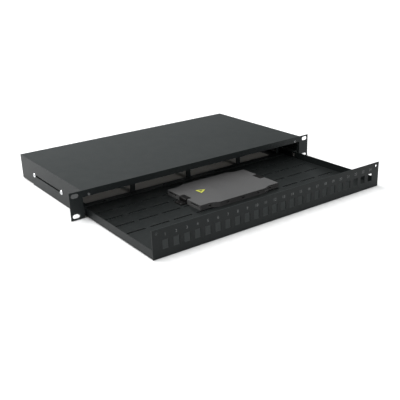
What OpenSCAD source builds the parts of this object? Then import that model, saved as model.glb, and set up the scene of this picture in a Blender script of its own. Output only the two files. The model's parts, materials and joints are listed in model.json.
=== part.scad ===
// Rack-mount fibre termination box, one unit high, with a pull-out drawer.
//
// Origin: centre of the four rack slots, on the rear face of the rack ears.
// +X is to the right as seen from the front, +Y to the rear and +Z up.
// The drawer is drawn fully pulled out, resting against its stops.

/* [Housing] */
// Outside width of the housing
body_w = 442; // [360:1:540]
// Depth of the housing behind the ears
body_d = 242; // [190:1:300]
// Height of the housing and of the ears
body_h = 43.9; // [43.9:0.1:60]
// Sheet thickness of the housing
shell_t = 1.2; // [1:0.1:1.5]
// Sheet thickness of the base plate
base_t = 1.2; // [1:0.1:1.5]
// Height of the base plate's upturned side edges
base_edge_h = 9; // [6:0.5:10]
// Height of the flange above the opening
flange_h = 10.3; // [10:0.1:12]
// Length of the raised part of each side wall's lower edge, at the rear
step_len = 47; // [20:1:60]
// How far that part is raised
step_h = 1.8; // [1:0.1:3]

/* [Rack ears] */
// Width of each ear outside the housing
ear_w = 20.3; // [18:0.1:26]
// End-to-end length of a rack slot
slot_len = 12; // [9:0.5:13]
// Height of a rack slot
slot_h = 6.8; // [5.5:0.1:7.5]
// Distance from the ear's outer edge to the slot centre
slot_inset = 8.75; // [8:0.05:10]
// Height between the upper and the lower slot
slot_rise = 31.75; // [28:0.05:32]

/* [Rear panel] */
// Width of the posts between the cable windows
post_w = 9.2; // [6:0.1:14]
// Solid metal left at each end of the row of windows
window_end = 28; // [24:0.5:40]
// Height of the rear panel's windows
rear_window_h = 28; // [18:0.5:29]
// Height of those windows above the bottom of the housing
rear_window_z = 6; // [5:0.5:8]
// Thickness of the rubber edge trim
trim_t = 1.2; // [0.8:0.1:2]
// How far the trim grips over the sheet
trim_lip = 1.8; // [1:0.1:2]

/* [Drawer] */
// Sheet thickness of the drawer
tray_t = 1.2; // [1:0.1:1.5]
// Gap between the drawer and the housing's side wall
tray_side_gap = 4.2; // [3.5:0.1:6]
// Height of the drawer's side walls
tray_wall_h = 12.7; // [11:0.1:16]
// Gap under the drawer
slide_gap = 0.3; // [0.2:0.1:0.6]
// Length of drawer that stays inside when it is pulled out
hold_len = 45.5; // [40:0.5:80]
// Space behind the closed drawer
rear_gap = 10.3; // [8:0.1:30]
// Gap between the closed front panel and the housing
close_gap = 0.3; // [0.2:0.1:1]
// Height of the drawer's rear wall above the bottom of the housing
rear_wall_top = 37.5; // [34:0.5:40]
// Height of the windows in the drawer's rear wall
inner_window_h = 27.6; // [15:0.1:29]
// Length of the tie slits in the drawer floor
slit_len = 32; // [15:1:36]
// Width of the tie slits
slit_w = 3; // [2:0.5:4]
// Distance between neighbouring slits in a row
slit_pitch = 40.5; // [38:0.5:60]
// Distance between rows of slits
slit_row_pitch = 32; // [16:1:40]

/* [Front panel] */
// Height of the front panel
panel_h = 41; // [40:0.1:41.5]
// Sheet thickness of the front panel
panel_t = 1.2; // [1:0.1:1.5]
// Height of the panel's lower edge above the bottom of the housing
panel_lift = 0.6; // [0.4:0.1:1]
// Width of an adapter port
port_w = 9.5; // [8:0.1:11]
// Height of an adapter port
port_h = 13; // [10:0.1:14]
// Distance between neighbouring ports
port_pitch = 17; // [14:0.5:22]
// Least distance from the row of ports to the panel's end
port_margin = 15; // [14:0.5:30]
// Height of the port centres above the bottom of the housing
port_z = 18.5; // [16:0.5:20]
// Diameter of the lock holes in the panel
lock_hole_d = 4.2; // [3.4:0.1:4.4]
// Distance from the lock holes to the housing's outer side
lock_inset = 12; // [11:0.5:20]
// Height of the lock holes above the bottom of the housing
lock_z = 36; // [35.8:0.1:36.6]

/* [Guide rails] */
// Sheet thickness of a rail
rail_t = 1.5; // [1:0.1:2]
// Height of a rail
rail_h = 12.5; // [9:0.5:16]
// Width of the rail's flange above the drawer's side wall
rail_reach = 10.5; // [8:0.1:11]
// Gap between the rail and the top of the drawer's side wall
rail_gap = 0.5; // [0.3:0.1:1]
// Distance from the front screw to the ears
rail_screw_front = 75; // [40:1:100]
// Distance from the rear screw to the rear of the housing
rail_screw_rear = 57; // [50:1:80]
// Screw diameter
screw_d = 3; // [2.5:0.5:4]
// Diameter of the screw's washer head
screw_head_d = 8; // [7:0.5:9]

/* [Splice tray] */
// Length of the splice tray
splice_len = 157; // [120:1:200]
// Depth of the splice tray at its ends
splice_end_d = 90; // [70:1:100]
// Depth of the splice tray at its middle
splice_mid_d = 102; // [80:1:104]
// Length of the straight middle stretch
splice_mid_len = 90; // [60:1:110]
// Height of the tray's base
splice_base_h = 6.2; // [5:0.1:10]
// Thickness of the lid
lid_t = 1.8; // [1.2:0.1:2.5]
// Gap between base and lid
lid_gap = 0.3; // [0.2:0.1:0.5]
// Wall thickness of the base
splice_wall_t = 1.6; // [1.2:0.1:2.5]
// Distance of the tray's centre from the middle of the drawer
splice_x = 5; // [-20:1:20]
// Distance from the tray to the foot of the drawer's rear wall
splice_gap = 29.8; // [15:0.1:31]
// Width of the clips that hold the tray down
clip_w = 18; // [10:1:24]

/* [Hidden] */

$fn = 48;
cut = 1;                      // how far a cutting shape runs past a face

black = [0.09, 0.1, 0.1];
zinc = [0.75, 0.76, 0.78];
brass = [0.8, 0.63, 0.33];
rubber = [0.05, 0.05, 0.05];
grey = [0.36, 0.37, 0.38];

// Housing
z_bot = -body_h / 2;
z_top = body_h / 2;
wall_x = body_w / 2 - shell_t;             // inner face of a side wall
ear_x = body_w / 2 + ear_w;                // outer edge of an ear
slot_x = ear_x - slot_inset;
window_pitch = body_w / 4;
window_far = body_w / 2 - window_end;      // outer edge of the last window

// Drawer
drawer_w = 2 * (wall_x - tray_side_gap);
drawer_d = body_d - rear_gap + close_gap;  // front panel to rear wall
travel = drawer_d - hold_len;
panel_y = -shell_t - close_gap - travel;   // back face of the front panel
rear_y = panel_y + drawer_d;               // rear face of the drawer
tray_z = z_bot + base_t + slide_gap;       // underside of the drawer
floor_z = tray_z + tray_t;
wall_top_z = tray_z + tray_wall_h;
sill_z = floor_z + tray_t;
rail_clear = 1.3;                          // rear wall to the rails' flanges
upper_w = 2 * (wall_x - rail_reach - rail_clear);
inner_far = upper_w / 2 - 5;               // outer edge of its last window
foot_len = 12;                             // feet of the drawer's front and rear

// Rails
rail_z = wall_top_z + rail_gap;
rail_y = 2;
rail_end = body_d - step_len + 1;
screw_rise = 3.3;                          // screws above the rail's flange
screw_z = rail_z + rail_t + screw_rise;
screw_ys = [rail_screw_front, body_d - rail_screw_rear];
screw_head_h = 2.2;
screw_end = 0.6;                           // shank left beyond the nut
cross_size = 3.6;
cross_depth = 1.1;
nut_h = 2.4;
nut_af = 5.5;
fit = 0.1;                                 // clearance round a fixed shank

// Stops: a tab on each rail, and a lug on the drawer that meets it
stop_gap = 0.3;                            // left between them when fully open
tab_x = drawer_w / 2 + 0.5;
tab_far_x = wall_x - base_t - 0.4;
tab_z = tray_z + 2.5;
lug_reach = 2;                             // stop lug outside the drawer wall
lug_y = rail_y + rail_t + stop_gap;
lug_z = tray_z + 3.5;
lug_h = 7;

// Front panel
port_count = floor((drawer_w - 2 * port_margin - port_w) / port_pitch) + 1;
lock_x = body_w / 2 - lock_inset;
flange_hole_d = lock_hole_d - 0.6;         // takes the clinch nut's spigot
clinch_d = 6;
clinch_len = 2;
clinch_bore = 2.5;
clinch_step = 0.2;                         // spigot ends short of the flange's face

// Floor slits
slit_first_x = 66.5;
slit_first_y = 90;
slit_side = 10;                            // floor left outside the last slit
slit_rear = 40;                            // floor left behind the last row
slits_per_side =
    floor((drawer_w / 2 - slit_side - slit_len / 2 - slit_first_x) / slit_pitch) + 1;
slit_rows = floor((drawer_d - slit_rear - slit_first_y) / slit_row_pitch) + 1;

// Splice tray
splice_y = rear_y - tray_t - foot_len - splice_gap - splice_mid_d / 2;
splice_top = floor_z + splice_base_h;
lid_z = splice_top + lid_gap;
notch_w = clip_w + 3;
notch_d = 9;
clip_t = 1.8;
clip_foot = 11;
clip_gap = 0.2;
clip_rivet_x = splice_len / 2 + clip_gap + clip_foot - 4;  // from the tray's centre
clip_rivet_y = clip_w * 0.28;
splice_floor_t = 1.5;
land_margin = 1.5;                         // solid left round a clip's notch
shoulder_slope = 1.1;                      // run over rise of the outline's shoulders
entry_len = 20;                            // fibre entries in the end walls
entry_depth = 2.4;
entry_y = splice_end_d * 0.34;
peg_slot_w = 5;                            // openings in the long walls
peg_slot_h = 2;
peg_slot_pitch = 30;
spool_d = 30;
spool_t = 1.5;
spool_x = splice_len / 4 + 2;
spool_drop = 0.5;                          // spools stay below the walls' top
holder_len = 36;
holder_d = 28;
holder_h = 4;
holder_y = 8;                              // from the tray's middle
groove_count = 6;
groove_d = 3;
groove_pitch = 4.1;
groove_z = 2.8;

// Rivets
rivet_d = 3.2;
rivet_head_d = 5.6;
rivet_head_h = 0.9;
rivet_inset = 6;                           // from the rear wall to its foot's rivets
wall_rivet_y = rear_y - tray_t - rivet_inset;
rear_edge_len = body_d - shell_t - (rear_y + travel) - 1;  // rear panel flange
rear_rivet_y = body_d - shell_t - rear_edge_len / 2;
rivet_xs = [for (i = [-3, -1, 1, 3]) i * body_w / 8];

// Earth stud
earth_x = -(wall_x - 13);
earth_z = -2;
earth_d = 5;
earth_len = 16;
earth_head_d = 9;
earth_head_t = 1.5;
earth_hole_d = earth_d + 2 * fit;
earth_washer_d = 10;
earth_washer_t = 1;
earth_nut_af = 8;
earth_nut_h = 4;

// ---------------------------------------------------------------- helpers

// Draws its children on the right and mirrored on the left.
module both_sides() {
    children();
    mirror([1, 0, 0]) children();
}

// A box given by its two opposite corners.
module block(low, high) {
    translate(low) cube(high - low);
}

// Cylinders that point along +X and along +Y.
module rod_x(d, length) { rotate([0, 90, 0]) cylinder(d = d, h = length); }
module rod_y(d, length) { rotate([-90, 0, 0]) cylinder(d = d, h = length); }

// A slot with round ends, cut along X through a plate that faces Y.
module rack_slot() {
    for (end = [-1, 1])
        translate([end * (slot_len - slot_h) / 2, -shell_t - cut, 0])
            rod_y(slot_h, shell_t + 2 * cut);
    block([-(slot_len - slot_h) / 2, -shell_t - cut, -slot_h / 2],
          [(slot_len - slot_h) / 2, cut, slot_h / 2]);
}

// A blind rivet: flush below, low round head above. Its base is at z = 0.
module rivet(grip) {
    cylinder(d = rivet_d, h = grip);
    translate([0, 0, grip]) head_cap(rivet_head_d, rivet_head_h);
}

// A domed cap of the given diameter and height, standing on z = 0.
module head_cap(d, h) {
    ball = (d * d / 4 + h * h) / (2 * h);
    intersection() {
        translate([0, 0, h - ball]) sphere(ball);
        cylinder(d = d, h = h);
    }
}

// A cross recess that opens upwards at z = 0.
module cross_recess(size, depth) {
    for (turn = [0, 90])
        rotate(turn) block([-size / 2, -size / 10, -depth], [size / 2, size / 10, cut]);
}

// A hexagon nut with its axis on Z.
module hex_nut(across, bore, height) {
    difference() {
        cylinder(r = across / 2 / cos(30), h = height, $fn = 6);
        translate([0, 0, -cut]) cylinder(d = bore, h = height + 2 * cut);
    }
}

// Left and right edge of cable window 0 to 3 in a row that reaches out to far.
function window_range(i, far) =
    i == 0 ? [-far, -window_pitch - post_w / 2] :
    i == 1 ? [-window_pitch + post_w / 2, -post_w / 2] :
    i == 2 ? [post_w / 2, window_pitch - post_w / 2] :
             [window_pitch + post_w / 2, far];

// ---------------------------------------------------------------- housing

// Top, sides, rack ears and front flange, folded from one sheet.
module housing_shell() color(black) difference() {
    union() {
        block([-body_w / 2, -shell_t, z_top - shell_t], [body_w / 2, body_d, z_top]);
        block([-body_w / 2, -shell_t, z_top - flange_h], [body_w / 2, 0, z_top]);
        both_sides() {
            block([wall_x, -shell_t, z_bot], [body_w / 2, body_d, z_top]);
            block([wall_x, -shell_t, z_bot], [ear_x, 0, z_top]);
        }
    }
    both_sides() {
        block([wall_x - cut, body_d - step_len, z_bot - cut],
              [body_w / 2 + cut, body_d + cut, z_bot + step_h]);
        for (end = [-1, 1])
            translate([slot_x, 0, end * slot_rise / 2]) rack_slot();
        for (y = screw_ys)
            translate([wall_x - cut, y, screw_z])
                rod_x(screw_d + 2 * fit, shell_t + 2 * cut);
        block([wall_x - cut, screw_ys[0], screw_z - screw_d / 2 - fit],
              [body_w / 2 + cut, screw_ys[1], screw_z + screw_d / 2 + fit]);
        translate([lock_x, -shell_t - cut, z_bot + lock_z])
            rod_y(flange_hole_d, shell_t + 2 * cut);
    }
}

// Floor of the housing, with its side edges turned up inside the walls.
module base_plate() color(black) difference() {
    union() {
        block([-wall_x, 0, z_bot], [wall_x, body_d, z_bot + base_t]);
        both_sides()
            block([wall_x - base_t, 0, z_bot], [wall_x, rail_end, z_bot + base_edge_h]);
    }
    for (x = rivet_xs)
        translate([x, rear_rivet_y, z_bot - cut])
            cylinder(d = rivet_d + 2 * fit, h = base_t + 2 * cut);
}

// Rear panel with four cable windows, a foot on the base and side flanges.
module rear_panel() color(black) difference() {
    low = z_bot + base_t;
    high = z_top - shell_t;
    inner = body_d - shell_t;
    union() {
        block([-wall_x, inner, low], [wall_x, body_d, high]);
        block([-wall_x, inner - rear_edge_len, low], [wall_x, body_d, low + shell_t]);
        both_sides()
            block([wall_x - shell_t, inner - rear_edge_len, low], [wall_x, body_d, high]);
    }
    for (i = [0:3])
        block([window_range(i, window_far)[0], inner - cut, z_bot + rear_window_z],
              [window_range(i, window_far)[1], body_d + cut,
               z_bot + rear_window_z + rear_window_h]);
    for (x = rivet_xs)
        translate([x, rear_rivet_y, low - cut])
            cylinder(d = rivet_d + 2 * fit, h = shell_t + 2 * cut);
    translate([earth_x, inner - cut, earth_z])
        rod_y(earth_hole_d, shell_t + 2 * cut);
}

// Rivets that hold the rear panel's foot to the base plate.
module rear_rivets() color(zinc)
    for (x = rivet_xs)
        translate([x, rear_rivet_y, z_bot]) rivet(base_t + shell_t);

// Right-hand guide rail: web on the side wall, flange over the drawer's side
// wall, and a stop tab that hangs beside that wall at the front. The web is open
// behind the side wall's slot, between the two screws.
module guide_rail_right() color(black) difference() {
    union() {
        block([wall_x - rail_t, rail_y, rail_z], [wall_x, rail_end, rail_z + rail_h]);
        block([wall_x - rail_reach, rail_y, rail_z], [wall_x, rail_end, rail_z + rail_t]);
        block([tab_x, rail_y, tab_z], [tab_far_x, rail_y + rail_t, rail_z + rail_t]);
    }
    for (y = screw_ys)
        translate([wall_x - rail_t - cut, y, screw_z])
            rod_x(screw_d + 2 * fit, rail_t + 2 * cut);
    block([wall_x - rail_t - cut, screw_ys[0] + nut_af, screw_z - screw_d / 2 - fit],
          [wall_x + cut, screw_ys[1] - nut_af, screw_z + screw_d / 2 + fit]);
}

module guide_rail_left() mirror([1, 0, 0]) guide_rail_right();

// Washer-head screws through the side wall's slot into the right-hand rail.
module rail_screws_right() color(zinc)
    for (y = screw_ys)
        translate([body_w / 2, y, screw_z]) {
            rotate([0, 90, 0]) difference() {
                head_cap(screw_head_d, screw_head_h);
                translate([0, 0, screw_head_h]) cross_recess(cross_size, cross_depth);
            }
            shank = shell_t + rail_t + nut_h + screw_end;
            translate([-shank, 0, 0]) rod_x(screw_d, shank);
        }

module rail_screws_left() mirror([1, 0, 0]) rail_screws_right();

module rail_nuts_right() color(zinc)
    for (y = screw_ys)
        translate([wall_x - rail_t - nut_h, y, screw_z])
            rotate([0, 90, 0]) hex_nut(nut_af, screw_d + 2 * fit, nut_h);

module rail_nuts_left() mirror([1, 0, 0]) rail_nuts_right();

// Clinch nuts behind the front flange, in line with the panel's lock holes.
module lock_nuts() color(zinc) both_sides()
    translate([lock_x, 0, z_bot + lock_z]) difference() {
        union() {
            rod_y(clinch_d, clinch_len);
            translate([0, -shell_t + clinch_step, 0]) rod_y(flange_hole_d - fit, shell_t);
        }
        translate([0, -shell_t - cut, 0])
            rod_y(clinch_bore, shell_t + clinch_len + 2 * cut);
    }

// Rubber edge trim round one window of the rear panel.
module rear_trim(i) color(rubber) {
    x0 = window_range(i, window_far)[0];
    x1 = window_range(i, window_far)[1];
    z0 = z_bot + rear_window_z;
    z1 = z0 + rear_window_h;
    inner = body_d - shell_t;
    difference() {
        block([x0 - trim_lip, inner - trim_t, z0 - trim_lip],
              [x1 + trim_lip, body_d + trim_t, z1 + trim_lip]);
        block([x0 + trim_t, inner - trim_t - cut, z0 + trim_t],
              [x1 - trim_t, body_d + trim_t + cut, z1 - trim_t]);
        difference() {
            block([x0 - trim_lip - cut, inner, z0 - trim_lip - cut],
                  [x1 + trim_lip + cut, body_d, z1 + trim_lip + cut]);
            block([x0, inner - cut, z0], [x1, body_d + cut, z1]);
        }
    }
}

// Earth stud with its head inside the rear panel.
module earth_stud() color(brass) translate([earth_x, body_d - shell_t, earth_z]) {
    rod_y(earth_d, earth_len);
    translate([0, -earth_head_t, 0]) rod_y(earth_head_d, earth_head_t);
}

module earth_washer() color(brass) translate([earth_x, body_d, earth_z])
    difference() {
        rod_y(earth_washer_d, earth_washer_t);
        translate([0, -cut, 0]) rod_y(earth_hole_d, earth_washer_t + 2 * cut);
    }

module earth_nut() color(brass)
    translate([earth_x, body_d + earth_washer_t, earth_z]) rotate([-90, 0, 0])
        hex_nut(earth_nut_af, earth_hole_d, earth_nut_h);

// ----------------------------------------------------------------- drawer

// Drawer floor and side walls, with tie slits and the two stop lugs.
module drawer_tray() color(black) {
    lug_x = drawer_w / 2;
    difference() {
        union() {
            block([-drawer_w / 2, panel_y, tray_z], [drawer_w / 2, rear_y, floor_z]);
            both_sides()
                block([drawer_w / 2 - tray_t, panel_y, tray_z],
                      [drawer_w / 2, rear_y, wall_top_z]);
        }
        for (row = [0:slit_rows - 1], i = [0:slits_per_side - 1], side = [-1, 1])
            translate([side * (slit_first_x + i * slit_pitch),
                       panel_y + slit_first_y + row * slit_row_pitch, tray_z - cut])
                block([-slit_len / 2, -slit_w / 2, 0],
                      [slit_len / 2, slit_w / 2, tray_t + 2 * cut]);
        both_sides()
            block([lug_x - tray_t - cut, lug_y + tray_t, lug_z],
                  [lug_x + cut, lug_y + tray_t + lug_h, lug_z + lug_h]);
        for (x = rivet_xs)
            translate([x, wall_rivet_y, tray_z - cut])
                cylinder(d = rivet_d + 2 * fit, h = tray_t + 2 * cut);
        at_clip_rivets()
            translate([0, 0, -cut]) cylinder(d = rivet_d + 2 * fit, h = tray_t + 2 * cut);
    }
    both_sides()
        block([lug_x - tray_t, lug_y, lug_z],
              [lug_x + lug_reach, lug_y + tray_t, lug_z + lug_h]);
}

// Rear wall of the drawer: four windows, and a foot on the drawer floor.
module drawer_rear_wall() color(black) difference() {
    side = drawer_w / 2 - tray_t;
    union() {
        block([-side, rear_y - tray_t, floor_z], [side, rear_y, wall_top_z]);
        block([-upper_w / 2, rear_y - tray_t, floor_z],
              [upper_w / 2, rear_y, z_bot + rear_wall_top]);
        block([-side, rear_y - tray_t - foot_len, floor_z], [side, rear_y, sill_z]);
    }
    for (i = [0:3])
        block([window_range(i, inner_far)[0], rear_y - tray_t - cut, sill_z],
              [window_range(i, inner_far)[1], rear_y + cut, sill_z + inner_window_h]);
    for (x = rivet_xs)
        translate([x, wall_rivet_y, floor_z - cut])
            cylinder(d = rivet_d + 2 * fit, h = tray_t + 2 * cut);
}

module wall_rivets() color(black)
    for (x = rivet_xs)
        translate([x, wall_rivet_y, tray_z]) rivet(2 * tray_t);

// Front panel with the row of adapter ports, and a foot on the drawer floor.
module front_panel() color(black) difference() {
    union() {
        block([-drawer_w / 2, panel_y - panel_t, z_bot + panel_lift],
              [drawer_w / 2, panel_y, z_bot + panel_lift + panel_h]);
        block([-drawer_w / 2 + tray_t, panel_y - panel_t, floor_z],
              [drawer_w / 2 - tray_t, panel_y + foot_len, floor_z + panel_t]);
    }
    for (i = [0:port_count - 1])
        translate([(i - (port_count - 1) / 2) * port_pitch, panel_y, z_bot + port_z])
            block([-port_w / 2, -panel_t - cut, -port_h / 2], [port_w / 2, cut, port_h / 2]);
    both_sides()
        translate([lock_x, panel_y - panel_t - cut, z_bot + lock_z])
            rod_y(lock_hole_d, panel_t + 2 * cut);
}

// ------------------------------------------------------------ splice tray

// Outline of the splice tray, drawn in by inset on every side.
module splice_outline(inset = 0) {
    end_x = splice_len / 2 - inset;
    end_y = splice_end_d / 2 - inset;
    mid_x = splice_mid_len / 2;
    mid_y = splice_mid_d / 2 - inset;
    shoulder = mid_x + (splice_mid_d - splice_end_d) * shoulder_slope;
    polygon([[-end_x, -end_y], [-shoulder, -end_y], [-mid_x, -mid_y], [mid_x, -mid_y],
             [shoulder, -end_y], [end_x, -end_y], [end_x, end_y], [shoulder, end_y],
             [mid_x, mid_y], [-mid_x, mid_y], [-shoulder, end_y], [-end_x, end_y]]);
}

// Tray base: floor, walls, lands under the clips, fibre entries, peg slots and spools.
module splice_tray_base() color(grey) translate([splice_x, splice_y, floor_z]) {
    difference() {
        linear_extrude(splice_base_h) splice_outline();
        translate([0, 0, splice_floor_t]) difference() {
            linear_extrude(splice_base_h) splice_outline(splice_wall_t);
            both_sides()
                block([splice_len / 2 - notch_d - land_margin,
                       -notch_w / 2 - land_margin, -cut],
                      [splice_len / 2, notch_w / 2 + land_margin, splice_base_h + cut]);
        }
        both_sides() for (side = [-1, 1])
            translate([splice_len / 2, side * entry_y, splice_base_h])
                block([-splice_wall_t - cut, -entry_len / 2, -entry_depth],
                      [cut, entry_len / 2, cut]);
        for (i = [-2:2])
            translate([i * peg_slot_pitch, -splice_mid_d / 2,
                       (splice_floor_t + splice_base_h) / 2])
                block([-peg_slot_w / 2, -cut, -peg_slot_h / 2],
                      [peg_slot_w / 2, (splice_mid_d - splice_end_d) / 2 + splice_wall_t + cut,
                       peg_slot_h / 2]);
    }
    both_sides() translate([spool_x, 0, 0]) difference() {
        cylinder(d = spool_d, h = splice_base_h - spool_drop);
        translate([0, 0, splice_floor_t])
            cylinder(d = spool_d - 2 * spool_t, h = splice_base_h);
    }
}

// Comb whose grooves hold the splice sleeves, between the two spools.
module splice_holder() color(black)
    translate([splice_x, splice_y, floor_z + splice_floor_t]) difference() {
        block([-holder_len / 2, holder_y, 0],
              [holder_len / 2, holder_y + holder_d, holder_h]);
        for (i = [0:groove_count - 1])
            translate([-holder_len / 2 - cut,
                       holder_y + holder_d / 2 + (i - (groove_count - 1) / 2) * groove_pitch,
                       groove_z])
                rod_x(groove_d, holder_len + 2 * cut);
    }

module splice_holder_rear() splice_holder();
module splice_holder_front()
    translate([0, 2 * splice_y, 0]) mirror([0, 1, 0]) splice_holder();

// Lid with a notch at each end that lets the clips through.
module splice_tray_lid() color(grey) translate([splice_x, splice_y, lid_z])
    linear_extrude(lid_t) difference() {
        splice_outline();
        both_sides()
            translate([splice_len / 2 - notch_d, -notch_w / 2]) square([notch_d + cut, notch_w]);
    }

// Side view of a clip: foot, upright, and a rounded hook over the tray base.
module clip_profile() difference() {
    x0 = splice_len / 2 + clip_gap;
    hook_z = splice_base_h + fit;
    union() {
        translate([x0, 0]) square([clip_foot, clip_t]);
        translate([x0, 0]) square([clip_t, hook_z]);
        translate([x0 - notch_d + 1, hook_z]) square([notch_d - 1, clip_t]);
        translate([x0, hook_z]) circle(clip_t);
    }
    translate([x0 - clip_t - cut, 0]) square([clip_t + cut, hook_z]);
}

// Right-hand spring clip, riveted to the drawer floor.
module tray_clip() color(rubber) difference() {
    translate([splice_x, splice_y + clip_w / 2, floor_z])
        rotate([90, 0, 0]) linear_extrude(clip_w) clip_profile();
    at_clip_rivets()
        translate([0, 0, tray_t - cut])
            cylinder(d = rivet_d + 2 * fit, h = clip_t + 2 * cut);
}

// Places its children at the clips' rivets, on the drawer's underside.
module at_clip_rivets()
    for (side = [-1, 1], end = [-1, 1])
        translate([splice_x + side * clip_rivet_x, splice_y + end * clip_rivet_y, tray_z])
            children();

module tray_clip_right() tray_clip();
module tray_clip_left()
    translate([2 * splice_x, 0, 0]) mirror([1, 0, 0]) tray_clip();

module clip_rivets() color(rubber) at_clip_rivets() rivet(tray_t + clip_t);

// ------------------------------------------------------------------ nodes

housing_shell();
base_plate();
rear_panel();
rear_rivets();
guide_rail_left();
guide_rail_right();
rail_screws_left();
rail_screws_right();
rail_nuts_left();
rail_nuts_right();
lock_nuts();
rear_trim(0);  // rear_trim_1
rear_trim(1);  // rear_trim_2
rear_trim(2);  // rear_trim_3
rear_trim(3);  // rear_trim_4
earth_stud();
earth_washer();
earth_nut();
drawer_tray();
drawer_rear_wall();
wall_rivets();
front_panel();
splice_tray_base();
splice_holder_front();
splice_holder_rear();
tray_clip_left();
tray_clip_right();
clip_rivets();
splice_tray_lid();
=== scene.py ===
import json
import math

import bmesh
import bpy
from mathutils import Euler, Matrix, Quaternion, Vector


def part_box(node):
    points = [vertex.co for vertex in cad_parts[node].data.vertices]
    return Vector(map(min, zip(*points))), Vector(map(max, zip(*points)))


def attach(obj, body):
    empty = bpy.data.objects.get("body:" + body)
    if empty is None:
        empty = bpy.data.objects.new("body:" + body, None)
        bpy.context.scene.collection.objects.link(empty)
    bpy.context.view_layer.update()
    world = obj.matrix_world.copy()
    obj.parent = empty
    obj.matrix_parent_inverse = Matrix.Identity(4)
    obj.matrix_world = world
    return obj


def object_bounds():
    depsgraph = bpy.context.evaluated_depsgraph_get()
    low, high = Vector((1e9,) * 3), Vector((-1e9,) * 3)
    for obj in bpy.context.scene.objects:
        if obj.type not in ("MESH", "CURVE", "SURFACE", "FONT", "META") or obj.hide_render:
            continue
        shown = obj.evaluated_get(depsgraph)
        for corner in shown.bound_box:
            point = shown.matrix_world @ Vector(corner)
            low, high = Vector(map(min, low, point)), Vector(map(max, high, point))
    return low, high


# The looks of a rack-mount fibre termination box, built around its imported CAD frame.
# Everything is in metres in the CAD frame: +X right, +Y to the rear, +Z up.

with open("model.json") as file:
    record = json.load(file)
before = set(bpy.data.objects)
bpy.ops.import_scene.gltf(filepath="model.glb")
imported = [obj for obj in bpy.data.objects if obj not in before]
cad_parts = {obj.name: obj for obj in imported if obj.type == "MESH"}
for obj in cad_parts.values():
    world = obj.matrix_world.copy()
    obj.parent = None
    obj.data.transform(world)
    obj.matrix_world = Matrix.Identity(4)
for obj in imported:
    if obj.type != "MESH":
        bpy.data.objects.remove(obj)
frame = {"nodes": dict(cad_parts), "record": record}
cad_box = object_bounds()
nodes = frame["nodes"]
MM = 0.001


# ------------------------------------------------------------------ camera

CAMERA_PLACE = Vector((-0.587, -0.8296, 0.3457))
CAMERA_AZIMUTH = math.radians(-34.95)
CAMERA_ELEVATION = math.radians(21.2)
CAMERA_ROLL = math.radians(-1.97)
CAMERA_LENS_MM = 57.75
CAMERA_SENSOR_MM = 36.0


def make_camera():
    """A camera at the viewing angle from which the box is shown."""
    data = bpy.data.cameras.new("camera")
    data.lens = CAMERA_LENS_MM
    data.sensor_width = CAMERA_SENSOR_MM
    data.clip_start = 0.05
    data.clip_end = 60.0
    camera = bpy.data.objects.new("camera", data)
    bpy.context.scene.collection.objects.link(camera)
    forward = Vector((
        -math.sin(CAMERA_AZIMUTH) * math.cos(CAMERA_ELEVATION),
        math.cos(CAMERA_AZIMUTH) * math.cos(CAMERA_ELEVATION),
        -math.sin(CAMERA_ELEVATION),
    ))
    roll = Quaternion((0, 0, 1), CAMERA_ROLL)
    camera.rotation_mode = "QUATERNION"
    camera.rotation_quaternion = forward.to_track_quat("-Z", "Y") @ roll
    camera.location = CAMERA_PLACE
    bpy.context.scene.camera = camera


# ------------------------------------------------------- node-tree helpers

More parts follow.
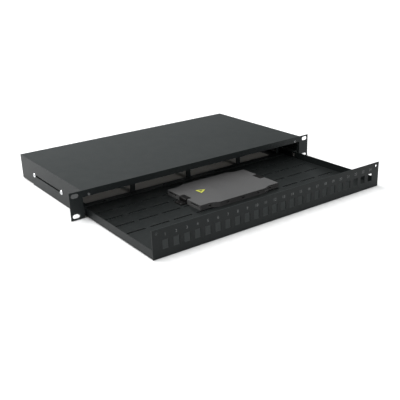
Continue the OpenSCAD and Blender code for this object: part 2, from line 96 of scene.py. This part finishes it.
class Shader:
    """A material whose nodes are added and wired with short calls."""

    def __init__(self, name):
        self.material = bpy.data.materials.new(name)
        self.material.use_nodes = True
        self.tree = self.material.node_tree
        self.surface = self.tree.nodes["Principled BSDF"]
        self.coords = self.add("ShaderNodeTexCoord").outputs["Object"]

    def add(self, kind, **settings):
        node = self.tree.nodes.new(kind)
        for key, value in settings.items():
            setattr(node, key, value)
        return node

    def link(self, source, target):
        self.tree.links.new(source, target)

    def put(self, value, socket):
        """Wires value into socket, or sets it there if it is a plain number."""
        if isinstance(value, bpy.types.NodeSocket):
            self.link(value, socket)
        else:
            socket.default_value = value

    def stretched(self, scale):
        """The object's coordinates, multiplied by a different factor on each axis."""
        mapping = self.add("ShaderNodeMapping")
        self.link(self.coords, mapping.inputs["Vector"])
        mapping.inputs["Scale"].default_value = scale
        return mapping.outputs["Vector"]

    def noise(self, scale, detail, roughness=0.55, vector=None):
        node = self.add("ShaderNodeTexNoise")
        self.link(vector or self.coords, node.inputs["Vector"])
        node.inputs["Scale"].default_value = scale
        node.inputs["Detail"].default_value = detail
        node.inputs["Roughness"].default_value = roughness
        return node.outputs["Fac"]

    def ramp(self, value, low, high, out_low=0.0, out_high=1.0):
        """Maps low..high to out_low..out_high, clamped."""
        node = self.add("ShaderNodeMapRange")
        self.link(value, node.inputs["Value"])
        node.inputs["From Min"].default_value = low
        node.inputs["From Max"].default_value = high
        node.inputs["To Min"].default_value = out_low
        node.inputs["To Max"].default_value = out_high
        return node.outputs["Result"]

    def math(self, operation, a, b):
        node = self.add("ShaderNodeMath", operation=operation)
        self.put(a, node.inputs[0])
        self.put(b, node.inputs[1])
        return node.outputs["Value"]

    def mix(self, factor, a, b):
        node = self.add("ShaderNodeMix", data_type="RGBA")
        self.put(factor, node.inputs["Factor"])
        self.put(a, node.inputs["A"])
        self.put(b, node.inputs["B"])
        return node.outputs["Result"]

    def bump(self, height, distance, strength, normal=None):
        node = self.add("ShaderNodeBump")
        self.link(height, node.inputs["Height"])
        node.inputs["Distance"].default_value = distance
        node.inputs["Strength"].default_value = strength
        if normal is not None:
            self.link(normal, node.inputs["Normal"])
        return node.outputs["Normal"]

    def edges(self, radius):
        """1 on sharp outer edges, falling to 0 within radius of them."""
        bevel = self.add("ShaderNodeBevel", samples=4)
        bevel.inputs["Radius"].default_value = radius
        geometry = self.add("ShaderNodeNewGeometry")
        dot = self.add("ShaderNodeVectorMath", operation="DOT_PRODUCT")
        self.link(bevel.outputs["Normal"], dot.inputs[0])
        self.link(geometry.outputs["Normal"], dot.inputs[1])
        return self.ramp(dot.outputs["Value"], 0.99, 0.8)

    def facing(self, axis, low, high):
        """1 where the surface's normal along an axis is at high, falling to 0 at low."""
        geometry = self.add("ShaderNodeNewGeometry")
        split = self.add("ShaderNodeSeparateXYZ")
        self.link(geometry.outputs["Normal"], split.inputs["Vector"])
        return self.ramp(split.outputs[axis], low, high)

    def set(self, **values):
        """Sets or wires inputs of the Principled shader; underscores stand for spaces."""
        for key, value in values.items():
            self.put(value, self.surface.inputs[key.replace("_", " ")])


def tint(color, factor):
    """The colour made lighter or darker, as an RGBA value."""
    return (*[min(1.0, c * factor) for c in color], 1.0)


# --------------------------------------------------------------- materials

def powder_coat(name, color, roughness, scuffs=0.25, dust=0.04, front=None):
    """Matt powder coat: orange peel, fine speckle, rubbed edges that are also lightened as a
    painted highlight, and faint scuffs.

    front is the colour of the faces that look to the front, where it differs.
    """
    s = Shader(name)
    cloud = s.noise(7.0, detail=2.0)
    speckle = s.noise(2600.0, detail=2.0)
    peel = s.noise(850.0, detail=3.0, roughness=0.6)
    rub = s.noise(55.0, detail=6.0, roughness=0.7)
    scratch = s.noise(1.0, detail=4.0, vector=s.stretched((1500.0, 12.0, 300.0)))

    body = s.mix(s.ramp(cloud, 0.3, 0.7), tint(color, 0.95), tint(color, 1.05))
    body = s.mix(s.ramp(speckle, 0.35, 0.75, 0.0, 0.35), body, tint(color, 1.7))
    # Edges lightened: partly rubbed coat, partly a painted highlight
    worn_and_highlit = s.math("MULTIPLY", s.edges(0.6 * MM), s.ramp(rub, 0.42, 0.62, 0.25, 1.0))
    body = s.mix(s.math("MULTIPLY", worn_and_highlit, 0.6), body, tint(color, 2.6))
    lying = s.math("MULTIPLY", s.facing("Z", 0.7, 1.0), s.ramp(rub, 0.2, 0.9, 0.0, dust / 2))
    body = s.mix(lying, body, (0.35, 0.34, 0.32, 1.0))
    if front:
        body = s.mix(s.facing("Y", -0.7, -1.0), body, tint(front, 1.0))

    marks = s.math("MULTIPLY", s.ramp(scratch, 0.66, 0.8), s.ramp(rub, 0.5, 0.7))
    gloss = s.ramp(cloud, 0.25, 0.75, roughness - 0.015, roughness + 0.015)
    gloss = s.math("SUBTRACT", gloss, s.math("MULTIPLY", marks, scuffs * 0.4))
    gloss = s.math("SUBTRACT", gloss, s.math("MULTIPLY", worn_and_highlit, 0.1))

    normal = s.bump(peel, 0.06 * MM, 0.5)
    normal = s.bump(speckle, 0.02 * MM, 0.35, normal)
    s.set(Base_Color=body, Roughness=gloss, Normal=normal)
    s.surface.inputs["Specular IOR Level"].default_value = 0.13
    return s.material


def plated(name, color, roughness):
    """Bright plated or turned metal with fine lay marks and a faint cloudy film."""
    s = Shader(name)
    s.surface.inputs["Metallic"].default_value = 1.0
    film = s.noise(420.0, detail=4.0)
    grain = s.noise(1.0, detail=3.0, vector=s.stretched((900.0, 5200.0, 5200.0)))
    body = s.mix(s.ramp(film, 0.35, 0.7), tint(color, 0.82), tint(color, 1.06))
    body = s.mix(s.math("MULTIPLY", s.edges(0.3 * MM), 0.5), body, tint(color, 1.25))
    s.set(
        Base_Color=body,
        Roughness=s.ramp(grain, 0.3, 0.7, roughness - 0.07, roughness + 0.1),
        Normal=s.bump(grain, 0.01 * MM, 0.5),
    )
    return s.material


def moulded(name, color, roughness, specular=0.5):
    """Moulded plastic: spark-eroded grain, slight flow clouding and paler edges."""
    s = Shader(name)
    cloud = s.noise(24.0, detail=3.0)
    erosion = s.add("ShaderNodeTexVoronoi", feature="F1")
    s.link(s.coords, erosion.inputs["Vector"])
    erosion.inputs["Scale"].default_value = 1500.0
    cells = erosion.outputs["Distance"]
    body = s.mix(s.ramp(cloud, 0.3, 0.7), tint(color, 0.93), tint(color, 1.07))
    body = s.mix(s.ramp(cells, 0.1, 0.7, 0.0, 0.25), body, tint(color, 0.75))
    edge = s.math("MULTIPLY", s.edges(0.5 * MM), s.ramp(cloud, 0.35, 0.6, 0.3, 0.9))
    body = s.mix(s.math("MULTIPLY", edge, 0.5), body, tint(color, 1.6))
    s.set(
        Base_Color=body,
        Roughness=s.ramp(cloud, 0.3, 0.7, roughness - 0.04, roughness + 0.05),
        Normal=s.bump(cells, 0.05 * MM, 0.5),
    )
    s.surface.inputs["Specular IOR Level"].default_value = specular
    return s.material


def rubber(name, color):
    """Matt edge rubber with a fine extruded streak and dusty bloom."""
    s = Shader(name)
    bloom = s.noise(90.0, detail=5.0)
    streak = s.noise(1.0, detail=2.0, vector=s.stretched((60.0, 2600.0, 2600.0)))
    body = s.mix(s.ramp(bloom, 0.35, 0.75), tint(color, 0.8), tint(color, 1.7))
    s.set(
        Base_Color=body,
        Roughness=s.ramp(bloom, 0.3, 0.7, 0.68, 0.86),
        Normal=s.bump(streak, 0.03 * MM, 0.4),
    )
    return s.material


def printed(name, color, patchiness=0.3):
    """Screen-printed ink: slightly uneven cover and a soft gloss."""
    s = Shader(name)
    cover = s.noise(1800.0, detail=3.0)
    body = s.mix(s.ramp(cover, 0.4, 0.7, 0.0, patchiness), tint(color, 1.0), tint(color, 0.6))
    s.set(
        Base_Color=body,
        Roughness=s.ramp(cover, 0.3, 0.7, 0.4, 0.52),
        Normal=s.bump(cover, 0.01 * MM, 0.3),
    )
    return s.material


def studio_floor():
    """Pale matt paper with a barely visible fibre."""
    s = Shader("studio_paper")
    fibre = s.noise(160.0, detail=5.0)
    body = s.mix(s.ramp(fibre, 0.3, 0.7), (0.86, 0.86, 0.86, 1.0), (0.9, 0.9, 0.9, 1.0))
    s.set(Base_Color=body, Roughness=0.9, Normal=s.bump(fibre, 0.05 * MM, 0.2))
    s.surface.inputs["Specular IOR Level"].default_value = 0.2
    return s.material


BLACK_PAINT = (0.007, 0.0085, 0.0085)
MATERIALS = {
    "housing_paint": powder_coat("housing_paint", (0.0095, 0.0114, 0.0116), 0.38, dust=0.07),
    # base_paint's pale warm grey is painted light: it stands in for light falling on the
    # housing's black floor; faces looking to the front keep the black paint
    "base_paint": powder_coat("base_paint", (0.3, 0.29, 0.27), 0.5, scuffs=0.8, dust=0.2,
                              front=BLACK_PAINT),
    "rail_paint": powder_coat("rail_paint", BLACK_PAINT, 0.4),
    "drawer_paint": powder_coat("drawer_paint", BLACK_PAINT, 0.38),
    "zinc_plate": plated("zinc_plate", (0.80, 0.81, 0.82), 0.3),
    "brass": plated("brass", (0.80, 0.60, 0.30), 0.26),
    "edge_rubber": rubber("edge_rubber", (0.016, 0.016, 0.017)),
    "tray_plastic": moulded("tray_plastic", (0.065, 0.064, 0.064), 0.5),
    "holder_plastic": moulded("holder_plastic", (0.02, 0.02, 0.021), 0.42),
    "clip_plastic": moulded("clip_plastic", (0.006, 0.0055, 0.0055), 0.5, specular=0.12),
}


# ---------------------------------------------------------- CAD node looks

def join_seams(node):
    """Joins the points that a CAD node's faces share; its own mesh stays as packed."""
    weld = node.modifiers.new("weld", "WELD")
    weld.merge_threshold = 1e-6


def soften(node, width):
    """Rounds a CAD node's sharp edges with a modifier."""
    bevel = node.modifiers.new("bevel", "BEVEL")
    bevel.width = width
    bevel.segments = 2
    bevel.limit_method = "ANGLE"
    bevel.angle_limit = math.radians(40)
    bevel.miter_outer = "MITER_ARC"
    bevel.harden_normals = True


# How far the edges of each node are rounded, for the nodes that aren't cut sheet.
EDGE_WIDTHS = {
    "rear_trim_1": 0.4 * MM, "rear_trim_2": 0.4 * MM,
    "rear_trim_3": 0.4 * MM, "rear_trim_4": 0.4 * MM,
    "splice_tray_base": 0.3 * MM, "splice_tray_lid": 0.4 * MM,
    "splice_holder_front": 0.2 * MM, "splice_holder_rear": 0.2 * MM,
    "tray_clip_left": 0.4 * MM, "tray_clip_right": 0.4 * MM,
    "earth_stud": 0.3 * MM, "earth_nut": 0.3 * MM, "earth_washer": 0.15 * MM,
    "rail_screws_left": 0.12 * MM, "rail_screws_right": 0.12 * MM,
    "rail_nuts_left": 0.15 * MM, "rail_nuts_right": 0.15 * MM,
    "lock_nuts": 0.2 * MM,
}


def finish_nodes():
    """Gives every CAD node its slot's material; cut sheet stays crisp, the rest is rounded."""
    for part in frame["record"]["subparts"]:
        node = nodes[part["node"]]
        node.data.materials.clear()
        node.data.materials.append(MATERIALS[part["material_slot"]])
        join_seams(node)
        if part["node"] in EDGE_WIDTHS:
            soften(node, EDGE_WIDTHS[part["node"]])


# ------------------------------------------------------------ extra pieces

def new_piece(name, mesh, material, body):
    """Puts a mesh in the scene as a piece that moves with a body."""
    piece = bpy.data.objects.new(name, mesh)
    bpy.context.scene.collection.objects.link(piece)
    mesh.materials.append(material)
    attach(piece, body)


def sheet_mesh(name, outline, thickness):
    """A thin closed sheet that stands on a flat outline and grows upwards."""
    build = bmesh.new()
    base = build.faces.new([build.verts.new(point) for point in outline])
    grown = bmesh.ops.extrude_face_region(build, geom=[base])
    top = [v for v in grown["geom"] if isinstance(v, bmesh.types.BMVert)]
    bmesh.ops.translate(build, verts=top, vec=(0, 0, thickness))
    bmesh.ops.recalc_face_normals(build, faces=build.faces)
    mesh = bpy.data.meshes.new(name)
    build.to_mesh(mesh)
    build.free()
    return mesh


PORT_COUNT = 24               # as in the CAD front panel
PORT_PITCH = 17 * MM
NUMBER_HEIGHT = 4.2 * MM
NUMBER_RISE = 13.6 * MM       # from the port centres to the numbers' middle
INK_THICKNESS = 0.03 * MM


def text_mesh(text, height):
    """A thin closed mesh of the text, centred on the origin in the XY plane."""
    curve = bpy.data.curves.new("number", "FONT")
    curve.body = text
    curve.size = height / 0.7           # a capital is about 0.7 of the font's size
    curve.align_x = "CENTER"
    curve.align_y = "CENTER"
    curve.resolution_u = 4
    curve.extrude = INK_THICKNESS / 2
    holder = bpy.data.objects.new("number", curve)
    bpy.context.scene.collection.objects.link(holder)
    bpy.context.view_layer.update()
    mesh = bpy.data.meshes.new_from_object(holder)
    bpy.data.objects.remove(holder)
    bpy.data.curves.remove(curve)
    return mesh


def make_port_numbers():
    """The printed number above each adapter port."""
    front_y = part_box("front_panel")[0].y
    mounts = frame["record"]["mounts"]
    centre = next(Vector(m["pos_m"]) for m in mounts if m["name"] == "adapter_ports")
    whole = bmesh.new()
    for i in range(PORT_COUNT):
        mesh = text_mesh(str(i + 1), NUMBER_HEIGHT)
        mesh.transform(Euler((math.pi / 2, 0, 0)).to_matrix().to_4x4())
        place = Vector((
            centre.x + (i - (PORT_COUNT - 1) / 2) * PORT_PITCH,
            front_y - INK_THICKNESS / 2,
            centre.z + NUMBER_RISE,
        ))
        for vertex in mesh.vertices:
            vertex.co += place
        whole.from_mesh(mesh)
        bpy.data.meshes.remove(mesh)
    bmesh.ops.remove_doubles(whole, verts=whole.verts, dist=1e-6)
    mesh = bpy.data.meshes.new("port_numbers")
    whole.to_mesh(mesh)
    whole.free()
    ink = printed("number_ink", (0.075, 0.08, 0.08))
    new_piece("port_numbers", mesh, ink, "drawer")


LABEL_SIDE = 19 * MM
LABEL_BORDER = 2.2 * MM
LABEL_MARK = 7.0 * MM
LABEL_CORNER = 1.4 * MM
LABEL_THICKNESS = 0.12 * MM
LABEL_INK = LABEL_THICKNESS * 0.4
LABEL_TURN = math.radians(-86)
LABEL_FROM_MIDDLE = Vector((-41 * MM, 6 * MM, 0))


def triangle_outline(side, corner, steps=6):
    """Points of an upright triangle with round corners, centred on the origin."""
    reach = side / math.sqrt(3) - 2 * corner
    points = []
    for k in range(3):
        towards = math.radians(90 + 120 * k)
        centre = Vector((math.cos(towards), math.sin(towards), 0)) * reach
        for j in range(steps + 1):
            turn = towards + math.radians(-60 + 120 * j / steps)
            points.append(centre + corner * Vector((math.cos(turn), math.sin(turn), 0)))
    return points


def make_lid_label():
    """A plain yellow triangle with a dark border and a dark middle, stuck to the lid."""
    low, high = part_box("splice_tray_lid")
    middle = (low + high) / 2
    place = Vector((middle.x, middle.y, high.z)) + LABEL_FROM_MIDDLE
    spin = Euler((0, 0, LABEL_TURN)).to_matrix()
    dark = printed("label_dark", (0.03, 0.03, 0.022))
    yellow = printed("label_yellow", (0.46, 0.47, 0.07), 0.15)
    layers = (
        ("lid_label_border", LABEL_SIDE, LABEL_CORNER, LABEL_THICKNESS, dark),
        ("lid_label", LABEL_SIDE - LABEL_BORDER, LABEL_CORNER * 0.6, LABEL_INK, yellow),
        ("lid_label_mark", LABEL_MARK, LABEL_CORNER * 0.3, LABEL_INK, dark),
    )
    for name, side, corner, thickness, material in layers:
        outline = [place + spin @ point for point in triangle_outline(side, corner)]
        mesh = sheet_mesh(name, outline, thickness)
        new_piece(name, mesh, material, "splice_lid")
        place.z += thickness


# Black strips on the base plate: painted shade beside the pale base plate's painted light
SHADE_STRIP_THICKNESS = 0.1 * MM
SHADE_STRIP_BELOW_DRAWER = 0.3 * MM
SHADE_STRIP_INNER_X = 193.3 * MM
SHADE_STRIP_FRONT_Y = 4 * MM
SHADE_STRIP_MARGIN = 3 * MM


def make_floor_shade_strips():
    """Thin black strips on the base plate, under each side of the drawer: painted shade that ends
    the pale base plate's painted light at |x| 193.3 mm.
    """
    outer_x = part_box("base_plate")[1].x - SHADE_STRIP_MARGIN
    rear_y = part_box("rear_panel")[0].y - SHADE_STRIP_MARGIN
    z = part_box("drawer_tray")[0].z - SHADE_STRIP_BELOW_DRAWER
    for side, name in ((-1, "floor_shade_strip_left"), (1, "floor_shade_strip_right")):
        x0, x1 = sorted((side * SHADE_STRIP_INNER_X, side * outer_x))
        outline = [(x0, SHADE_STRIP_FRONT_Y, z), (x1, SHADE_STRIP_FRONT_Y, z), (x1, rear_y, z), (x0, rear_y, z)]
        mesh = sheet_mesh(name, outline, SHADE_STRIP_THICKNESS)
        new_piece(name, mesh, MATERIALS["edge_rubber"], "housing")


# ------------------------------------------------------------------ studio

def heading(azimuth, elevation):
    """A unit vector, in degrees. Azimuth 0 is in front of the box and 90 at its right."""
    a, e = math.radians(azimuth), math.radians(elevation)
    return Vector((math.sin(a) * math.cos(e), -math.cos(a) * math.cos(e), math.sin(e)))


def soft_sun(name, azimuth, elevation, strength, spread):
    """An even light from far away; a wide spread, in degrees, makes it soft."""
    data = bpy.data.lights.new(name, "SUN")
    data.energy = strength
    data.angle = math.radians(spread)
    light = bpy.data.objects.new(name, data)
    towards = heading(azimuth, elevation)
    light.location = towards * 3.0
    light.rotation_mode = "QUATERNION"
    light.rotation_quaternion = (-towards).to_track_quat("-Z", "Y")
    bpy.context.scene.collection.objects.link(light)


SURROUND_DIM = 0.2
SURROUND_BRIGHT = 0.72


def make_surround():
    """A dim even surround that grows brighter behind the box."""
    world = bpy.data.worlds.new("studio")
    world.use_nodes = True
    tree = world.node_tree
    surround = tree.nodes["Background"]
    surround.inputs["Color"].default_value = (0.93, 0.99, 1.0, 1.0)
    coords = tree.nodes.new("ShaderNodeTexCoord")
    dot = tree.nodes.new("ShaderNodeVectorMath")
    dot.operation = "DOT_PRODUCT"
    dot.inputs[1].default_value = heading(175, 25)
    ramp = tree.nodes.new("ShaderNodeMapRange")
    ramp.inputs["From Min"].default_value = 0.72
    ramp.inputs["From Max"].default_value = 0.97
    ramp.inputs["To Min"].default_value = SURROUND_DIM
    ramp.inputs["To Max"].default_value = SURROUND_BRIGHT
    tree.links.new(coords.outputs["Generated"], dot.inputs[0])
    tree.links.new(dot.outputs["Value"], ramp.inputs["Value"])
    tree.links.new(ramp.outputs["Result"], surround.inputs["Strength"])
    bpy.context.scene.world = world


FLOOR_REACH = 14.0
FLOOR_GAP = 0.3 * MM          # between the floor and the bottom of the box


def make_studio():
    """A pale floor, a soft surround and large soft lights."""
    bpy.context.scene.view_settings.view_transform = "Standard"
    make_surround()

    build = bmesh.new()
    bmesh.ops.create_grid(build, x_segments=8, y_segments=8, size=FLOOR_REACH)
    floor_z = cad_box[0].z - FLOOR_GAP
    bmesh.ops.translate(build, verts=build.verts, vec=(0, 0, floor_z))
    mesh = bpy.data.meshes.new("studio_floor")
    build.to_mesh(mesh)
    build.free()
    mesh.materials.append(studio_floor())
    floor = bpy.data.objects.new("studio_floor", mesh)
    bpy.context.scene.collection.objects.link(floor)

    soft_sun("key", -150, 50, 2.7, 50)
    soft_sun("left", -85, 40, 1.25, 50)
    soft_sun("right", 70, 50, 0.9, 60)
    soft_sun("fill", -30, 55, 0.6, 60)
    soft_sun("front", 2, 17, 1.0, 8)


# -------------------------------------------------------------------- main

make_camera()
finish_nodes()
make_port_numbers()
make_lid_label()
make_floor_shade_strips()
make_studio()
